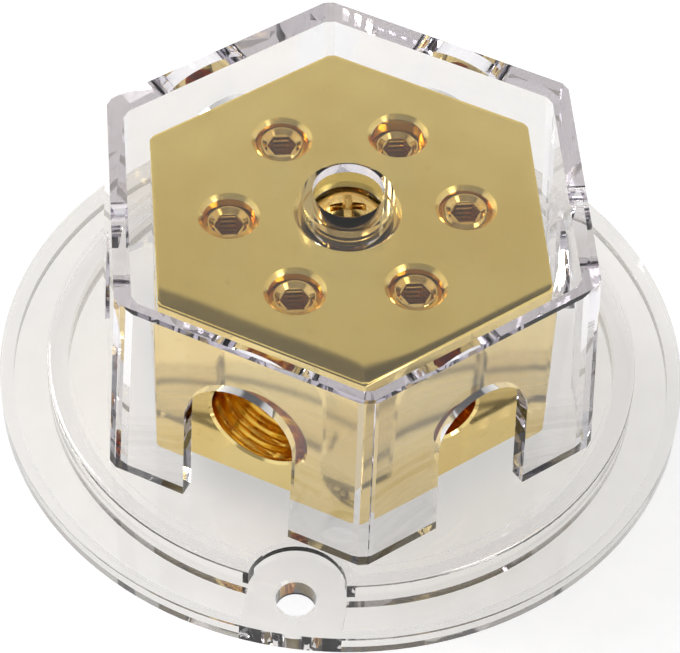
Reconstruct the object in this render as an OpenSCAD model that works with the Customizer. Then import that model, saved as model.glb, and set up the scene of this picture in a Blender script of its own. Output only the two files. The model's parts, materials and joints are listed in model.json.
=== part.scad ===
// Round wire distribution block: a hexagonal brass terminal block on a clear
// moulded base, under a clear hexagonal cover held by one central screw.
// Origin at the centre of the base's underside. The two fixing holes lie on Y.

/* [Base] */
// Diameter of the base
base_d = 81.4; // [78:0.2:100]
// Height of the rim at its outer edge
rim_h = 2.6; // [2:0.1:4]
// Thickness of the flange between the rim and the platform
flange_t = 1.4; // [1:0.1:1.8]
// Thickness of the rim's outer wall
rim_wall = 1.6; // [1:0.1:2.4]
// Diameter of the raised platform
platform_d = 70; // [69:0.5:74]
// Height of the platform's top
platform_h = 4.8; // [4.4:0.1:8]
// Thickness of the platform's plate
platform_t = 2; // [1.6:0.1:2.4]
// Thickness of the wall that carries the platform
platform_wall = 2.4; // [1.4:0.1:3]
// Rounding of the platform's upper edge
platform_round = 0.5; // [0.2:0.1:0.8]
// Depth of the shallow recess that centres the cover
recess_depth = 0.3; // [0.2:0.1:0.8]
// Play between the cover's corners and that recess
recess_play = 0.25; // [0.1:0.05:0.4]

/* [Fixing holes] */
// Distance of a fixing hole's centre from the base's edge
fixing_inset = 5.2; // [3.5:0.1:5.5]
// Diameter of a fixing hole
fixing_d = 4.6; // [3:0.1:5]
// Width of the solid pad around a fixing hole
fixing_pad_w = 11.4; // [9:0.1:13]
// Thickness of the wall round the notch over a pad
notch_wall = 1.4; // [1:0.1:2]
// Size of the small bevel at the hole's mouth
fixing_bevel = 0.3; // [0.1:0.1:0.5]

/* [Terminal block] */
// Turn of the block against the line of the fixing holes, in degrees
block_turn = 12.5; // [0:0.5:30]
// Width of the block across its flats
block_af = 44; // [43:0.5:46]
// Height of the block
block_h = 23.2; // [22:0.1:26]
// Bevel along the block's edges
block_bevel = 0.25; // [0.1:0.05:0.5]
// Height of the wire ports above the block's underside
port_h = 10; // [9:0.1:10.5]
// Diameter of the large port, for the supply wire
supply_port_d = 12.4; // [10:0.1:13]
// Depth of the large port
supply_port_depth = 12.5; // [11.5:0.1:13]
// Diameter of the five smaller ports
output_port_d = 6.6; // [5:0.1:7.4]
// Depth of the deepest of the smaller ports
output_port_depth = 13.4; // [12.5:0.1:14]
// How much less deep each smaller port is drilled than the one before it
port_depth_step = 0.2; // [0.1:0.05:0.25]
// Bevel at the mouth of a port
port_bevel = 0.3; // [0.1:0.05:0.5]

/* [Set screws] */
// Thread diameter of a set screw
set_d = 6; // [5:0.5:6]
// Length of a set screw
set_len = 6; // [5:0.5:6.5]
// Width across flats of its hexagon socket
set_key = 3; // [2.5:0.1:3.2]
// Depth of its hexagon socket
set_key_depth = 3.2; // [2:0.1:3.6]
// Radius of the ring on which the set screws stand
set_ring_r = 13.5; // [12.5:0.1:14]
// Diameter of the countersink over a set screw
set_sink_d = 7; // [6.6:0.1:7.8]
// Chamfer around the ends of a set screw
set_chamfer = 0.6; // [0.3:0.1:0.8]
// Diameter of the chamfered mouth of its socket
set_mouth_d = 4.5; // [4:0.1:4.6]
// How deep the supply wire's set screw sits below the block's top
set_down_supply = 0.9; // [0.3:0.1:1.8]
// How deep the nearest output screw to its right sits
set_down_1 = 0.7; // [0.3:0.1:3]
// How deep the second output screw sits
set_down_2 = 0.3; // [0.3:0.1:3]
// How deep the third output screw sits
set_down_3 = 1.7; // [0.3:0.1:3]
// How deep the fourth output screw sits
set_down_4 = 0.5; // [0.3:0.1:3]
// How deep the fifth output screw sits
set_down_5 = 1.0; // [0.3:0.1:3]

/* [Cover] */
// Gap between the block's top and the underside of the cover's plate
cover_gap = 2.4; // [1:0.1:4]
// Width of the cover across flats at its top
cover_top_af = 53.6; // [52:0.1:54.5]
// Width of the cover across flats at its bottom
cover_bottom_af = 56; // [55.5:0.1:56.6]
// Gap under the foot of the cover
foot_play = 0.05; // [0.02:0.01:0.1]
// Thickness of the cover's side walls
cover_wall = 1.9; // [1.4:0.1:2.4]
// Thickness of the cover's top plate
cover_plate = 2; // [1.5:0.1:2.4]
// How far the rounded corners stand inside the sharp ones
corner_round = 0.35; // [0.1:0.05:0.6]
// Width of the arch over the supply port
supply_arch_w = 13.4; // [13:0.1:15]
// Width of the arches over the other ports
output_arch_w = 12.2; // [10:0.1:14]
// Height of the crown of the large arch above the cover's seat
supply_arch_h = 20.4; // [18:0.1:22]
// Height of the crown of the other arches
output_arch_h = 19.2; // [17:0.1:21]

/* [Screw well] */
// Inner diameter of the well in the cover
well_d = 8.2; // [8:0.1:8.4]
// Outer diameter of the well's tube
well_tube_d = 10.6; // [10.4:0.1:10.8]
// Depth of the well below the cover's top
well_depth = 5; // [4.6:0.1:5.4]
// Thickness of the well's floor
well_floor = 1.4; // [1:0.1:2]
// Diameter of the recess in the block that takes the well
centre_hole_d = 11.4; // [11.2:0.1:11.8]
// Depth of the play under the well's floor
centre_play = 0.3; // [0.2:0.05:0.5]
// Bevel around that recess
centre_bevel = 0.45; // [0.2:0.05:0.6]

/* [Cover screw] */
// Thread diameter of the cover screw
cover_screw_d = 4; // [3:0.5:4]
// Length of the cover screw under its head
cover_screw_len = 10; // [8:1:12]
// Diameter of its pan head
cover_head_d = 7.5; // [6.8:0.1:7.6]
// Height of its pan head
cover_head_h = 2.5; // [2:0.1:2.8]
// Width of the arms of the cross recess
cross_w = 1.1; // [0.8:0.1:1.4]
// Span of the cross recess
cross_span = 4.4; // [3.6:0.1:5]
// Depth of the cross recess
cross_depth = 1.7; // [1:0.1:2]

/* [Block screws] */
// Thread diameter of the screws that hold the block from below
block_screw_d = 3; // [2.5:0.5:3]
// Length of those screws under the head
block_screw_len = 8; // [6:1:10]
// Diameter of their pan heads
block_head_d = 5.6; // [5:0.1:6]
// Height of their pan heads
block_head_h = 2; // [1.6:0.1:2.2]
// Radius at which those screws stand
block_screw_r = 17; // [16:0.5:19]

/* [Fits] */
// Radial play of a screw in its thread
thread_play = 0.05; // [0.02:0.01:0.09]
// Radial play of a screw in a plain hole
hole_play = 0.25; // [0.15:0.05:0.5]

/* [Hidden] */
$fn = 96;
cut = 1;                            // how far a cutting tool runs past a face
side_count = 6;
side_step = 360 / side_count;
side_ratio = cos(180 / side_count);         // apothem over corner radius
supply_side = -90 - side_step / 2 + block_turn;     // direction of the large port
left_corner = 180 + block_turn - side_step / 2;     // corner over the left block screw
fixing_span = base_d - 2 * fixing_inset;
seat_z = platform_h - recess_depth;
block_top = seat_z + block_h;
port_z = seat_z + port_h;
foot_z = seat_z + foot_play;                // underside of the cover's walls
cover_h = block_top + cover_gap + cover_plate - foot_z;
cover_top = foot_z + cover_h;
recess_d = cover_bottom_af / side_ratio - 2 * corner_round + 2 * recess_play;
well_z = cover_top - well_depth;            // top of the well's floor
tube_z = well_z - well_floor;               // underside of the well's floor
centre_floor_z = tube_z - centre_play;
flange_z = rim_h - flange_t;
plate_z = platform_h - platform_t;
set_downs = [set_down_supply, set_down_1, set_down_2, set_down_3, set_down_4, set_down_5];

// Half space: keeps what lies inside a face that leans by dx over a height h
module leaning_face(half, dx, h, size) {
    rotate([0, atan(dx / h), 0])
        translate([half * cos(atan(dx / h)) - size, -size, -size])
            cube([size, 2 * size, 2 * size]);
}

// Hexagonal frustum with its corners turned off by a cone
module hex_frustum(bottom_af, top_af, h, corner_off) {
    big = bottom_af + top_af + h;
    intersection() {
        cylinder(r1 = bottom_af / 2 / side_ratio - corner_off,
                 r2 = top_af / 2 / side_ratio - corner_off, h = h);
        intersection_for (k = [0 : side_count - 1])
            rotate([0, 0, supply_side + k * side_step])
                leaning_face(bottom_af / 2, (top_af - bottom_af) / 2, h, big);
    }
}

// Hexagonal prism with a bevel along its upper and lower edges
module hex_prism(af, h, bevel) {
    corner_r = af / 2 / side_ratio;
    rotate([0, 0, supply_side + side_step / 2])
        intersection() {
            cylinder(r = corner_r, h = h, $fn = side_count);
            rotate_extrude()
                polygon([[0, 0], [corner_r - bevel, 0], [corner_r - bevel / 4, bevel],
                         [corner_r - bevel / 4, h - bevel], [corner_r - bevel, h], [0, h]]);
        }
}

// Round hole with a bevel at its mouth, running down from z = 0
module bevelled_hole(r, depth, bevel) {
    translate([0, 0, -depth]) cylinder(r = r, h = depth + cut);
    translate([0, 0, -bevel]) cylinder(r1 = r, r2 = r + bevel + cut, h = bevel + cut);
}

// Pan head: flat underside at z = 0, side wall and domed top
module pan_head(d, h) {
    side_h = h * 0.35;
    rise = h - side_h;
    dome_r = (d * d / 4 + rise * rise) / (2 * rise);
    rotate_extrude() {
        square([d / 2, side_h]);
        intersection() {
            translate([0, side_h]) square([d / 2, rise]);
            translate([0, h - dome_r]) circle(r = dome_r);
        }
    }
}

// Cross recess cut down from the top of a pan head at z = h
module cross_recess(h) {
    for (a = [0, 90])
        rotate([0, 0, a])
            intersection() {
                translate([-cross_span / 2, -cross_w / 2, h - cross_depth])
                    cube([cross_span, cross_w, cross_depth + cut]);
                translate([0, 0, h - cross_depth])
                    cylinder(r1 = cross_span / 4, r2 = cross_span / 2 + cut, h = cross_depth + cut);
            }
}

// Shank with a short point, hanging down from z = 0
module shank(d, len) {
    point = d / 5;
    translate([0, 0, point - len]) cylinder(d = d, h = len - point);
    translate([0, 0, -len]) cylinder(d1 = d - 2 * point, d2 = d, h = point);
}

module cross_screw(d, len, head_d, head_h) {
    difference() {
        union() {
            pan_head(head_d, head_h);
            shank(d, len);
        }
        cross_recess(head_h);
    }
}

// Arch-headed slot standing on z = 0, cut outwards through one side wall
module arch_slot(w, h) {
    start = cover_top_af / 2 - 2 * cover_wall;
    translate([start, 0, 0])
    rotate([90, 0, 90])
        linear_extrude(height = cover_bottom_af / 2 - start + cut)
            union() {
                translate([-w / 2, -cut]) square([w, h - w / 2 + cut]);
                translate([0, h - w / 2]) circle(d = w);
            }
}

// U-shaped plan of a fixing pad, round end towards the middle of the base
module pad_plan(w) {
    translate([fixing_span / 2, 0]) circle(d = w);
    translate([fixing_span / 2, -w / 2]) square([base_d / 2, w]);
}

// Half section of the moulded base, from the axis out to the rim
module base_section() {
    round_r = platform_d / 2 - platform_round;
    round_z = platform_h - platform_round;
    translate([0, plate_z]) square([platform_d / 2, round_z - plate_z]);
    translate([0, round_z]) square([round_r, platform_round]);
    translate([round_r, round_z]) circle(r = platform_round);
    translate([platform_d / 2 - platform_wall, 0]) square([platform_wall, round_z]);
    translate([platform_d / 2 - platform_wall, flange_z])
        square([(base_d - platform_d) / 2 + platform_wall, flange_t]);
    translate([base_d / 2 - rim_wall, 0]) square([rim_wall, rim_h]);
}

module base() {
    color([0.93, 0.93, 0.93, 0.4])
    difference() {
        union() {
            rotate_extrude() base_section();
            for (a = [-90, 90])
                rotate([0, 0, a]) {
                    // solid pad under the fixing hole, out to the rim
                    intersection() {
                        cylinder(d = base_d, h = rim_h);
                        linear_extrude(height = rim_h) pad_plan(fixing_pad_w);
                    }
                    // wall round the notch, up into the platform's plate
                    intersection() {
                        cylinder(d = platform_d - platform_wall, h = seat_z);
                        linear_extrude(height = platform_h) pad_plan(fixing_pad_w + 2 * notch_wall);
                    }
                }
        }
        // recess that centres the cover
        translate([0, 0, seat_z]) cylinder(d = recess_d, h = recess_depth + cut);
        for (a = [-90, 90])
            rotate([0, 0, a]) {
                // notch in the platform that clears the fixing screw's head
                translate([0, 0, rim_h])
                    linear_extrude(height = platform_h) pad_plan(fixing_pad_w);
                translate([fixing_span / 2, 0, rim_h])
                    bevelled_hole(fixing_d / 2, rim_h + cut, fixing_bevel);
            }
        for (a = [left_corner, left_corner + 180])
            rotate([0, 0, a])
                translate([block_screw_r, 0, plate_z - cut])
                    cylinder(r = block_screw_d / 2 + hole_play, h = platform_t + 2 * cut);
    }
}

module port(d, depth) {
    apothem = block_af / 2;
    translate([apothem, 0, port_h]) rotate([0, 90, 0]) bevelled_hole(d / 2, depth, port_bevel);
}

module terminal_block() {
    color([0.83, 0.68, 0.35])
    translate([0, 0, seat_z])
    difference() {
        hex_prism(block_af, block_h, block_bevel);
        // recess for the cover's well, with the cover screw's thread under it
        translate([0, 0, block_h])
            bevelled_hole(centre_hole_d / 2, block_top - centre_floor_z, centre_bevel);
        translate([0, 0, well_z - seat_z - cover_screw_len - cut])
            cylinder(r = cover_screw_d / 2 + thread_play, h = cover_screw_len);
        for (k = [0 : side_count - 1])
            rotate([0, 0, supply_side + k * side_step]) {
                if (k == 0) port(supply_port_d, supply_port_depth);
                else port(output_port_d, output_port_depth - (k - 1) * port_depth_step);
                // screw hole down to the middle of the port
                translate([set_ring_r, 0, block_h])
                    bevelled_hole(set_d / 2 + thread_play, block_h - port_h, (set_sink_d - set_d) / 2);
            }
        for (a = [left_corner, left_corner + 180])
            rotate([0, 0, a])
                translate([block_screw_r, 0, -cut])
                    cylinder(r = block_screw_d / 2 + thread_play,
                             h = block_screw_len - platform_t + recess_depth + 2 * cut);
    }
}

module cover() {
    inner_plate_z = cover_h - cover_plate;
    inner_top_af = cover_top_af - 2 * cover_wall;
    inner_bottom_af = cover_bottom_af - 2 * cover_wall;
    color([0.93, 0.94, 0.96, 0.3])
    translate([0, 0, foot_z])
    difference() {
        union() {
            difference() {
                hex_frustum(cover_bottom_af, cover_top_af, cover_h, corner_round);
                hex_frustum(inner_bottom_af, inner_top_af, inner_plate_z, corner_round);
                for (k = [0 : side_count - 1])
                    rotate([0, 0, supply_side + k * side_step]) {
                        if (k == 0) arch_slot(supply_arch_w, supply_arch_h);
                        else arch_slot(output_arch_w, output_arch_h);
                    }
            }
            // tube of the screw well
            translate([0, 0, tube_z - foot_z])
                cylinder(d = well_tube_d, h = cover_h - (tube_z - foot_z));
        }
        translate([0, 0, well_z - foot_z]) cylinder(d = well_d, h = well_depth + cut);
        translate([0, 0, tube_z - foot_z - cut])
            cylinder(r = cover_screw_d / 2 + hole_play, h = well_floor + 2 * cut);
    }
}

module cover_screw() {
    color([0.85, 0.7, 0.4])
    translate([0, 0, well_z])
        rotate([0, 0, block_turn])
            cross_screw(cover_screw_d, cover_screw_len, cover_head_d, cover_head_h);
}

// Set screw: chamfered ends, hexagon socket from above
module set_screw(k) {
    corner_r = set_key / 2 / side_ratio;
    mouth = set_mouth_d / 2 - corner_r;
    color([0.82, 0.66, 0.36])
    rotate([0, 0, supply_side + k * side_step])
    translate([set_ring_r, 0, block_top - set_downs[k] - set_len])
    difference() {
        union() {
            cylinder(d1 = set_d - 2 * set_chamfer, d2 = set_d, h = set_chamfer);
            translate([0, 0, set_chamfer]) cylinder(d = set_d, h = set_len - 2 * set_chamfer);
            translate([0, 0, set_len - set_chamfer])
                cylinder(d1 = set_d, d2 = set_d - 2 * set_chamfer, h = set_chamfer);
        }
        translate([0, 0, set_len - set_key_depth])
            cylinder(r = corner_r, h = set_key_depth + cut, $fn = side_count);
        translate([0, 0, set_len - mouth])
            cylinder(r1 = corner_r, r2 = corner_r + mouth + cut, h = mouth + cut);
    }
}

// Pan-head screw driven up through the platform into the block
module block_screw(angle) {
    color([0.75, 0.75, 0.77])
    rotate([0, 0, angle])
        translate([block_screw_r, 0, plate_z])
            rotate([180, 0, 0])
                cross_screw(block_screw_d, block_screw_len, block_head_d, block_head_h);
}

base();
terminal_block();
cover();
cover_screw();
set_screw(0);  // set_screw_supply
set_screw(1);  // set_screw_1
set_screw(2);  // set_screw_2
set_screw(3);  // set_screw_3
set_screw(4);  // set_screw_4
set_screw(5);  // set_screw_5
block_screw(left_corner);  // block_screw_left
block_screw(left_corner + 180);  // block_screw_right
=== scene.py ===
"""Dresses a power distribution block: gold-plated hexagonal block, clear base and cover."""
import json
import math

import bmesh
import bpy
from mathutils import Matrix, Vector


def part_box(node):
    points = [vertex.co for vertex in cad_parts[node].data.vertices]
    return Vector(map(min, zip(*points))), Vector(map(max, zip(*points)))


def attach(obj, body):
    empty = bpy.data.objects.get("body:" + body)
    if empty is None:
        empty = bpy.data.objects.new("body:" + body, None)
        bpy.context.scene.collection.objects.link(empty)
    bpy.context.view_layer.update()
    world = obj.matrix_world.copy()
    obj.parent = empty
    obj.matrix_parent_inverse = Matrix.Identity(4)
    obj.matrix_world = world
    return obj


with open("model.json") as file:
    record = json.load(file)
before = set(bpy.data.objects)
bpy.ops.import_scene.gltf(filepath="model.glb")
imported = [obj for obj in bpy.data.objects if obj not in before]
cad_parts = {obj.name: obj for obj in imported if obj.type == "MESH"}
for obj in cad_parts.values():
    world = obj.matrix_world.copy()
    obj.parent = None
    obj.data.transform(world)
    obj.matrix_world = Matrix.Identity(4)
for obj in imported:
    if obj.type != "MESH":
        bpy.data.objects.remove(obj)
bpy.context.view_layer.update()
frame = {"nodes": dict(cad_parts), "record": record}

MM = 0.001
SIDES = 6
ROOT_BODY = "block_and_base"


# ---------------------------------------------------------------- node toolkit

class Wire:
    """One output of a shader node, used in arithmetic as if it were a number."""

    def __init__(self, finish, socket):
        self.finish, self.socket = finish, socket

    def other(self, name):
        """Another output of the same node."""
        return Wire(self.finish, self.socket.node.outputs[name])

    def __add__(self, value):
        return self.finish.maths("ADD", self, value)

    def __sub__(self, value):
        return self.finish.maths("SUBTRACT", self, value)

    def __rsub__(self, value):
        return self.finish.maths("SUBTRACT", value, self)

    def __mul__(self, value):
        return self.finish.maths("MULTIPLY", self, value)

    def __truediv__(self, value):
        return self.finish.maths("DIVIDE", self, value)

    def __abs__(self):
        return self.finish.maths("ABSOLUTE", self)

    __radd__ = __add__
    __rmul__ = __mul__

    def sine(self):
        return self.finish.maths("SINE", self)

    def larger(self, value):
        """This or value, whichever is greater."""
        return self.finish.maths("MAXIMUM", self, value)

    def eased(self, start, end):
        """Goes smoothly from 0 at start to 1 at end."""
        return self.finish.node(
            "ShaderNodeMapRange", {"interpolation_type": "SMOOTHSTEP"},
            {"Value": self, "From Min": start, "From Max": end}, "Result")


class Finish:
    """A node tree that is written as expressions on wires."""

    def __init__(self, tree):
        self.tree = tree
        tree.nodes.clear()

    def node(self, kind, settings=None, sockets=None, output=0):
        """Adds a node, and returns one of its outputs as a wire."""
        made = self.tree.nodes.new(kind)
        for name, value in (settings or {}).items():
            if name == "stops":
                self.set_stops(made.color_ramp, value)
            else:
                setattr(made, name, value)
        for name, value in (sockets or {}).items():
            self.feed(made.inputs[name], value)
        return Wire(self, made.outputs[output]) if len(made.outputs) else made

    def feed(self, socket, value):
        """Links a wire to a socket, or sets the socket to a plain value."""
        if isinstance(value, Wire):
            self.tree.links.new(value.socket, socket)
        else:
            socket.default_value = value

    @staticmethod
    def set_stops(ramp, stops):
        while len(ramp.elements) < len(stops):
            ramp.elements.new(1.0)
        for element, (position, colour) in zip(ramp.elements, stops):
            element.position = position
            element.color = colour

    def maths(self, operation, *values):
        return self.node("ShaderNodeMath", {"operation": operation},
                         dict(enumerate(values)))

    def place(self):
        """Position in the part's frame, in metres."""
        return self.node("ShaderNodeTexCoord", output="Object")

    def split(self, vector):
        x = self.node("ShaderNodeSeparateXYZ", sockets={0: vector}, output="X")
        return x, x.other("Y"), x.other("Z")

    def scaled(self, vector, scales):
        return self.node("ShaderNodeVectorMath", {"operation": "MULTIPLY"},
                         {0: vector, 1: scales})

    def noise(self, vector, scale, detail):
        return self.node("ShaderNodeTexNoise", sockets={
            "Vector": vector, "Scale": scale, "Detail": detail, "Roughness": 0.5})

    def blend(self, amount, first, second):
        """Mixes two colours."""
        mix = self.tree.nodes.new("ShaderNodeMix")
        mix.data_type = "RGBA"
        for socket, value in zip((mix.inputs[0], mix.inputs[6], mix.inputs[7]),
                                 (amount, first, second)):
            self.feed(socket, value)
        return Wire(self, mix.outputs[2])

    def bump(self, height, depth):
        return self.node("ShaderNodeBump", sockets={
            "Height": height, "Distance": depth, "Strength": 1.0}, output="Normal")


def rgb(red, green, blue):
    """A colour as it is seen, from 0 to 255 each, as a linear one."""
    def linear(level):
        level /= 255
        return level / 12.92 if level <= 0.04045 else ((level + 0.055) / 1.055) ** 2.4
    return (linear(red), linear(green), linear(blue), 1.0)


def grey(level):
    """A linear grey, from 0 for black to 1 for white."""
    return (level, level, level, 1)


# how fast a clear moulding's depth tint builds up, per metre
TINT_DENSITY = 60.0


def new_material(name, surface, depth_tint=None):
    """surface(finish) returns the shader; depth_tint colours what is looked through."""
    material = bpy.data.materials.new(name)
    material.use_nodes = True
    finish = Finish(material.node_tree)
    shaders = {"Surface": surface(finish)}
    if depth_tint:
        shaders["Volume"] = finish.node("ShaderNodeVolumeAbsorption", sockets={
            "Color": depth_tint, "Density": TINT_DENSITY})
    finish.node("ShaderNodeOutputMaterial", sockets=shaders)
    return material


# ---------------------------------------------------------------- the part's own sizes

mounts = {mount["name"]: mount for mount in frame["record"]["mounts"]}
BLOCK_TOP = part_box("terminal_block")[1].z
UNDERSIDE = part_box("base")[0].z
port_axis = Vector(mounts["supply_port"]["axis"])
PORT_ANGLE = math.atan2(port_axis.y, port_axis.x)
SIDE_STEP = 2 * math.pi / SIDES
# how far the block's sides lie from its axis, taken at the supply port's side
APOTHEM = max(Vector(v.co.xy).dot(port_axis.xy)
              for v in frame["nodes"]["terminal_block"].data.vertices)
# sides are counted round from the supply port's: the first two face the front
FRONT_SIDES = (0, 1)
OTHER_SIDES = (2, 3, 4, 5)


# ---------------------------------------------------------------- finishes

def towards_sides(x, y, sides):
    """How far a point lies out from the axis, square to the nearest of these sides."""
    reach = []
    for k in sides:
        angle = PORT_ANGLE + k * SIDE_STEP
        reach.append(x * math.cos(angle) + y * math.sin(angle))
    farthest = reach[0]
    for along in reach[1:]:
        farthest = farthest.larger(along)
    return farthest


def rolled_edge(x, y, sides, width, steepest):
    """Relief of a top face that rolls down over these sides' edges, ending at a given slope."""
    rolled = (towards_sides(x, y, sides) - (APOTHEM - width)).larger(0.0)
    return rolled * rolled / width * (-steepest / 2)


def gold_block(finish):
    """Gold plate: satin on the top face, bright on the sides, with softly rolled upper edges. The
    top face's colour is painted shade: a darker, more saturated gold than the sides'.
    """
    place = finish.place()
    x, y, z = finish.split(place)
    is_top = z.eased(BLOCK_TOP - 0.6 * MM, BLOCK_TOP - 0.1 * MM)
    cloud = finish.noise(place, scale=90.0, detail=4.0)
    mottle = finish.noise(place, scale=900.0, detail=3.0)
    long_grain = finish.scaled(place, (4200.0, 900.0, 900.0))
    grain = finish.noise(long_grain, scale=1.0, detail=4.0)
    patches = cloud.eased(0.35, 0.7)
    # painted shade: the top face's gold is a darker, more saturated copy of the sides' gold,
    # standing in for the weaker light on the top face; its satin finish is the higher roughness
    # further down
    sides = finish.blend(patches, rgb(240, 217, 150), rgb(235, 208, 136))
    face = finish.blend(patches, rgb(238, 211, 126), rgb(231, 202, 114))
    colour = finish.blend(is_top, sides, face)
    stains = mottle.eased(0.62, 0.72) * 0.25
    colour = finish.blend(stains, colour, rgb(206, 172, 98))
    # the front edges roll down over a wide band, narrower to the right, and the others hardly
    uneven = finish.noise(place, scale=55.0, detail=1.0).eased(0.3, 0.7)
    to_the_right = x.eased(3 * MM, 11 * MM)
    wide = (2.5 - 1.5 * to_the_right + uneven * 0.5) * MM
    narrow = uneven * (0.2 * MM) + 0.3 * MM
    front_roll = rolled_edge(x, y, FRONT_SIDES, wide, steepest=0.4)
    other_roll = rolled_edge(x, y, OTHER_SIDES, narrow, steepest=0.2)
    relief = (front_roll + other_roll) * is_top
    fine = grain * (0.0025 * MM) + mottle * (0.004 * MM) * is_top
    return finish.node("ShaderNodeBsdfPrincipled", sockets={
        "Base Color": colour, "Metallic": 1.0,
        "Roughness": 0.07 + is_top * 0.15 + cloud * 0.03,
        "Normal": finish.bump(relief + fine, 1.0)})


def gold_screw(finish):
    """Bright gold plate on the small screws, with thread lines round the shank."""
    thread_pitch = 0.75 * MM
    thread_depth = 0.09 * MM
    place = finish.place()
    z = finish.split(place)[2]
    cloud = finish.noise(place, scale=400.0, detail=3.0)
    long_grain = finish.scaled(place, (3000.0, 700.0, 700.0))
    scratches = finish.noise(long_grain, scale=1.0, detail=3.0)
    colour = finish.blend(cloud.eased(0.3, 0.7), rgb(236, 205, 130), rgb(222, 182, 100))
    facing = finish.node("ShaderNodeNewGeometry", output="Normal")
    upright = abs(finish.split(facing)[2])
    on_shank = 1.0 - upright.eased(0.05, 0.2)
    thread = (z * (2 * math.pi / thread_pitch)).sine() * on_shank * thread_depth
    return finish.node("ShaderNodeBsdfPrincipled", sockets={
        "Base Color": colour, "Metallic": 1.0, "Roughness": 0.1 + cloud * 0.08,
        "Normal": finish.bump(thread + scratches * (0.004 * MM), 1.0)})


def zinc_screw(finish):
    """Zinc plate on the screws under the block."""
    cloud = finish.noise(finish.place(), scale=500.0, detail=4.0)
    colour = finish.blend(cloud.eased(0.3, 0.7), rgb(205, 206, 208), rgb(176, 178, 182))
    return finish.node("ShaderNodeBsdfPrincipled", sockets={
        "Base Color": colour, "Metallic": 1.0, "Roughness": 0.22 + cloud * 0.15,
        "Normal": finish.bump(cloud, 0.01 * MM)})


def clear_plastic(tint, haze):
    """Polished clear moulding, which lets light through to what it covers."""
    darker_tint = [level * 0.985 for level in tint[:3]] + [1.0]
    passed_light = (0.93, 0.93, 0.94, 1.0)

    def surface(finish):
        place = finish.place()
        flow = finish.noise(place, scale=120.0, detail=2.0)
        smear = finish.noise(place, scale=1500.0, detail=3.0)
        plastic = finish.node("ShaderNodeBsdfPrincipled", sockets={
            "Base Color": finish.blend(flow.eased(0.3, 0.7), tint, darker_tint),
            "Roughness": haze + smear.eased(0.55, 0.8) * 0.02, "IOR": 1.49,
            "Transmission Weight": 1.0, "Normal": finish.bump(flow, 0.02 * MM)})
        passing = finish.node("ShaderNodeBsdfTransparent", sockets={"Color": passed_light})
        path = finish.node("ShaderNodeLightPath", output="Is Shadow Ray")
        lighting = path.larger(path.other("Is Diffuse Ray"))
        return finish.node("ShaderNodeMixShader", sockets={0: lighting, 1: plastic, 2: passing})
    return surface


def dress(node, material):
    """Puts one material on a CAD node."""
    slots = frame["nodes"][node].data.materials
    if not len(slots):
        slots.append(material)
    for k in range(len(slots)):
        slots[k] = material


gold = new_material("gold_plate", gold_block)
screw_gold = new_material("gold_screw_plate", gold_screw)
zinc = new_material("zinc_plate", zinc_screw)
clear_base = new_material(
    "clear_base", clear_plastic(rgb(243, 241, 237), haze=0.015), (0.80, 0.79, 0.81, 1))
clear_cover = new_material(
    "clear_cover", clear_plastic(rgb(250, 250, 250), haze=0.008), (0.82, 0.80, 0.84, 1))

dress("terminal_block", gold)
dress("base", clear_base)
dress("cover", clear_cover)
dress("cover_screw", screw_gold)
for side in ["supply"] + [str(k) for k in range(1, SIDES)]:
    dress("set_screw_" + side, screw_gold)
for side in ("left", "right"):
    dress("block_screw_" + side, zinc)


# ---------------------------------------------------------------- thread in the supply port

def port_thread(port, pitch, ridge):
    """A cut thread along a port's wall. It leaves out what the set screw comes down through."""
    mount = mounts[port]
    axis = Vector(mount["axis"])
    bore_r = mount["dims"]["r_mm"] * MM
    length = mount["dims"]["length_mm"] * MM
    middle = Vector(mount["pos_m"])
    across = axis.cross(Vector((0, 0, 1)))
    up = Vector((0, 0, 1))
    facets = 72
    rings_per_turn = 8
    steps = int(length / pitch * rings_per_turn)
    wall = bore_r - 0.01 * MM
    # past this length the thread runs all round; before it, only under this height
    clear_of_screw = length * 0.15
    under_screw = 0.1
    mesh = bmesh.new()
    rows = []
    for i in range(steps + 1):
        along = length * (i / steps - 0.5)
        row = []
        for j in range(facets):
            turn = 2 * math.pi * j / facets
            phase = (along / pitch + j / facets) % 1.0
            radius = wall - ridge * (1 - abs(2 * phase - 1))
            outward = across * math.cos(turn) + up * math.sin(turn)
            row.append(mesh.verts.new(middle + axis * along + outward * radius))
        rows.append(row)
    for i in range(steps):
        along = length * ((i + 0.5) / steps - 0.5)
        for j in range(facets):
            turn = 2 * math.pi * (j + 0.5) / facets
            if along > clear_of_screw or math.sin(turn) < under_screw:
                k = (j + 1) % facets
                mesh.faces.new((rows[i][j], rows[i][k], rows[i + 1][k], rows[i + 1][j]))
    loose = [v for v in mesh.verts if not v.link_faces]
    bmesh.ops.delete(mesh, geom=loose, context="VERTS")
    data = bpy.data.meshes.new(port + "_thread")
    mesh.to_mesh(data)
    mesh.free()
    for face in data.polygons:
        face.use_smooth = True
    thread = bpy.data.objects.new(port + "_thread", data)
    bpy.context.scene.collection.objects.link(thread)
    data.materials.append(gold)
    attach(thread, ROOT_BODY)


port_thread("supply_port", pitch=1.8 * MM, ridge=0.3 * MM)


# ---------------------------------------------------------------- floor, light and camera

def white_floor(finish):
    """Pale floor: lit by the lamps, and lifted to white wherever it is seen."""
    fleck = finish.noise(finish.place(), scale=300.0, detail=3.0)
    colour = finish.blend(fleck.eased(0.4, 0.6), grey(0.6), grey(0.62))
    lit = finish.node("ShaderNodeBsdfDiffuse", sockets={"Color": colour})
    path = finish.node("ShaderNodeLightPath", output="Is Camera Ray")
    seen = path.larger(path.other("Is Glossy Ray")).larger(path.other("Is Transmission Ray"))
    lift = finish.node("ShaderNodeEmission", sockets={
        "Color": finish.blend(seen, grey(0), grey(0.62))})
    return finish.node("ShaderNodeAddShader", sockets={0: lit, 1: lift})


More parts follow.
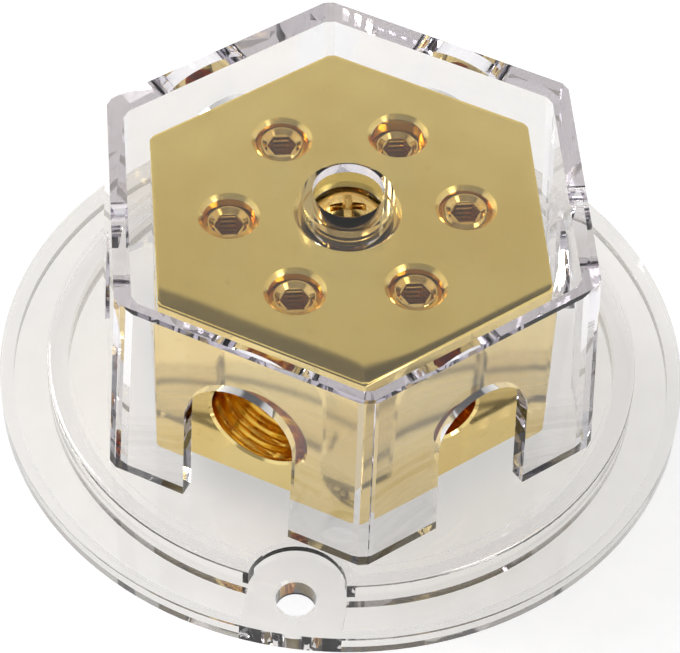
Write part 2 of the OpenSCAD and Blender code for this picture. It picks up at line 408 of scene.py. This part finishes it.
def lay_floor(half_width, gap):
    mesh = bmesh.new()
    bmesh.ops.create_grid(mesh, x_segments=8, y_segments=8, size=half_width)
    data = bpy.data.meshes.new("floor")
    mesh.to_mesh(data)
    mesh.free()
    floor = bpy.data.objects.new("floor", data)
    floor.location = (0, 0, UNDERSIDE - gap)
    bpy.context.scene.collection.objects.link(floor)
    data.materials.append(new_material("pale_floor", white_floor))


# middle of the dark part of the ceiling, and how far from it the dark ends
CEILING_TILT = math.radians(16)
DARK_CEILING = Vector((0, -math.sin(CEILING_TILT), math.cos(CEILING_TILT)))
DARK_ENDS, DARK_STARTS = math.radians(51), math.radians(46)


def studio_world():
    """Bright surround with a dark ceiling, paler to the front; white where it is seen directly."""
    world = bpy.data.worlds.new("studio")
    bpy.context.scene.world = world
    world.use_nodes = True
    finish = Finish(world.node_tree)
    direction = finish.node("ShaderNodeTexCoord", output="Generated")
    height = finish.split(direction)[2]
    walls = finish.node("ShaderNodeValToRGB", {"stops": [
        (0.0, grey(0.92)), (0.45, grey(1.0)), (0.62, grey(0.8)),
        (0.78, grey(0.62))]}, {0: height.larger(0.0)})
    overhead = finish.node("ShaderNodeVectorMath", {"operation": "DOT_PRODUCT"},
                           {0: direction, 1: DARK_CEILING}, "Value")
    ceiling = overhead.eased(math.cos(DARK_ENDS), math.cos(DARK_STARTS))
    front = finish.split(direction)[1] * -1.0
    dark = finish.blend(front.eased(0.2, 0.75), (0.05, 0.05, 0.06, 1), (0.36, 0.36, 0.37, 1))
    around = finish.blend(ceiling, walls, dark)
    seen = finish.node("ShaderNodeLightPath", output="Is Camera Ray")
    colour = finish.blend(seen, around, grey(1))
    background = finish.node("ShaderNodeBackground", sockets={"Color": colour, "Strength": 1.0})
    finish.node("ShaderNodeOutputWorld", sockets={"Surface": background})


def soft_lamp(name, place, size, power):
    data = bpy.data.lights.new(name, "AREA")
    data.shape = "DISK"
    data.size = size
    data.energy = power
    lamp = bpy.data.objects.new(name, data)
    lamp.location = place
    lamp.rotation_euler = (-Vector(place)).to_track_quat("-Z", "Y").to_euler()
    bpy.context.scene.collection.objects.link(lamp)


def set_camera(target, azimuth, elevation, distance, roll, lens):
    """Camera that looks at target; azimuth 0 looks along +Y."""
    turn, rise, tip = (math.radians(angle) for angle in (azimuth, elevation, roll))
    away = Vector((math.sin(turn) * math.cos(rise), -math.cos(turn) * math.cos(rise),
                   math.sin(rise)))
    right = (-away).cross(Vector((0, 0, 1))).normalized()
    up = right.cross(-away)
    across = right * math.cos(tip) + up * math.sin(tip)
    over = up * math.cos(tip) - right * math.sin(tip)
    data = bpy.data.cameras.new("camera")
    data.lens = lens
    data.sensor_width = 36.0
    data.clip_start = 0.01
    camera = bpy.data.objects.new("camera", data)
    camera.matrix_world = Matrix.Translation(Vector(target) + away * distance) @ Matrix(
        (across, over, away)).transposed().to_4x4()
    bpy.context.scene.collection.objects.link(camera)
    bpy.context.scene.camera = camera


lay_floor(half_width=1.6, gap=0.05 * MM)
studio_world()
soft_lamp("key_lamp", (-0.5, 0.25, 0.42), size=0.3, power=2.5)
soft_lamp("fill_lamp", (0.5, -0.3, 0.3), size=0.3, power=0.8)
set_camera(target=(0.31 * MM, -5.56 * MM, 15 * MM), azimuth=6.36, elevation=49.30,
           distance=0.36266, roll=2.48, lens=166.15)
bpy.context.scene.view_settings.view_transform = "Standard"
# light is passed on many times between the clear walls and the plated block
bpy.context.scene.cycles.max_bounces = 32
bpy.context.scene.cycles.glossy_bounces = 20
bpy.context.scene.cycles.transmission_bounces = 28
bpy.context.scene.cycles.transparent_max_bounces = 24
